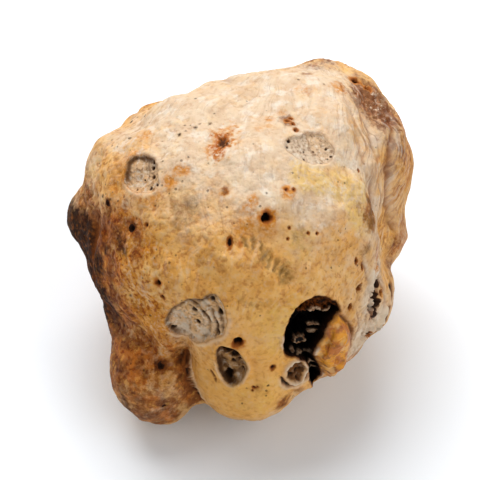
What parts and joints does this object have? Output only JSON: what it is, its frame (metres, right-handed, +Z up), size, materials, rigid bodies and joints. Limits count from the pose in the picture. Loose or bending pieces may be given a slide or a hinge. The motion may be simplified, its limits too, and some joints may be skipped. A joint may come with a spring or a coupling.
{
  "type": "bianchetto truffle",
  "caption": "Whole lumpy bianchetto truffle with lobes, folds, porous scars and gnawed holes, resting on a small flat spot.",
  "frame": {"origin": "bottom centre of the bounding box, on the surface the truffle rests on", "axes": "+Z up, -Y the front with the two lower lobes and the gnawed hole, +X the right as seen from the front"},
  "size_m": [0.0384, 0.0362, 0.0338],
  "materials": {
    "peridium": "matt cream to ochre skin, darker brown low down"
  },
  "bodies": {
    "root": {"truffle": "peridium"}
  },
  "joints": []
}
